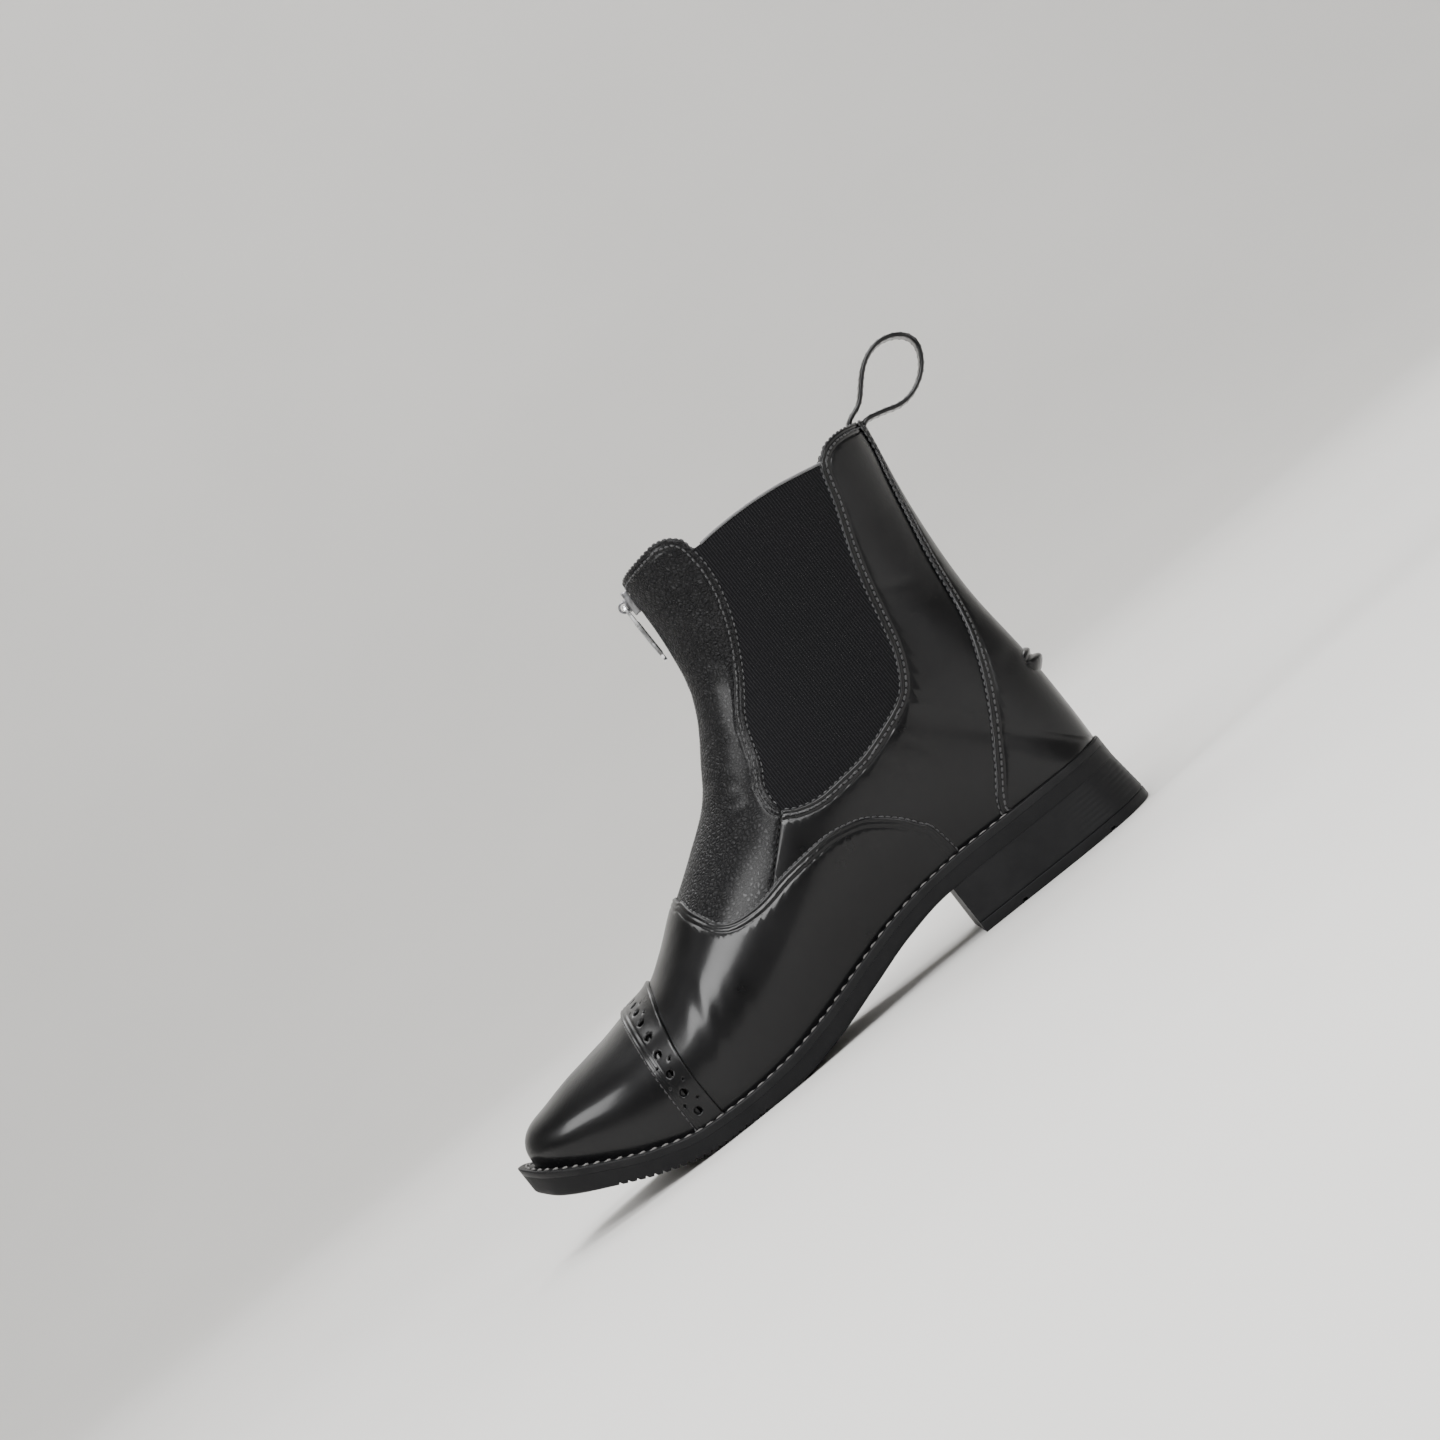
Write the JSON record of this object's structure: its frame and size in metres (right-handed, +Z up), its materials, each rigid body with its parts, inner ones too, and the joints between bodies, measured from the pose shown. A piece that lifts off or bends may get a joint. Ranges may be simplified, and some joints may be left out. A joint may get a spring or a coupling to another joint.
{
  "type": "riding boot",
  "caption": "Left ankle riding boot with front zip, elastic side gores, brogued toe band, heel counter, pull loop, welted rubber sole and block heel.",
  "frame": {"origin": "on the floor, under the middle of the heel, at the centre of the top lift's resting face", "axes": "+X from toe to heel, +Y towards the inner side of the left foot, +Z up the shaft"},
  "size_m": [0.308, 0.093, 0.1941],
  "materials": {
    "smooth_leather": "satin black box leather",
    "sole_rubber": "matt black rubber",
    "elastic": "matt black ribbed elastic",
    "lining": "plain dark lining",
    "zip_metal": "dark steel",
    "pull_metal": "bright steel"
  },
  "bodies": {
    "boot": {"outsole": "sole_rubber", "welt": "sole_rubber", "heel_block": "sole_rubber", "top_lift": "sole_rubber", "insole": "lining", "upper": "smooth_leather", "cap_band": "smooth_leather", "heel_counter": "smooth_leather", "spur_rest": "smooth_leather", "gore_outer": "elastic", "gore_inner": "elastic", "zip_chain": "zip_metal", "pull_loop": "smooth_leather", "zip_slider": "zip_metal"},
    "pull": {"zip_pull": "pull_metal"}
  },
  "joints": [
    {"name": "pull_swing", "type": "hinge", "parent": "boot", "child": "pull", "pos_m": [-0.06885, 0, 0.17491], "axis": [0, 1, 0], "range_deg": [0, 150]}
  ]
}
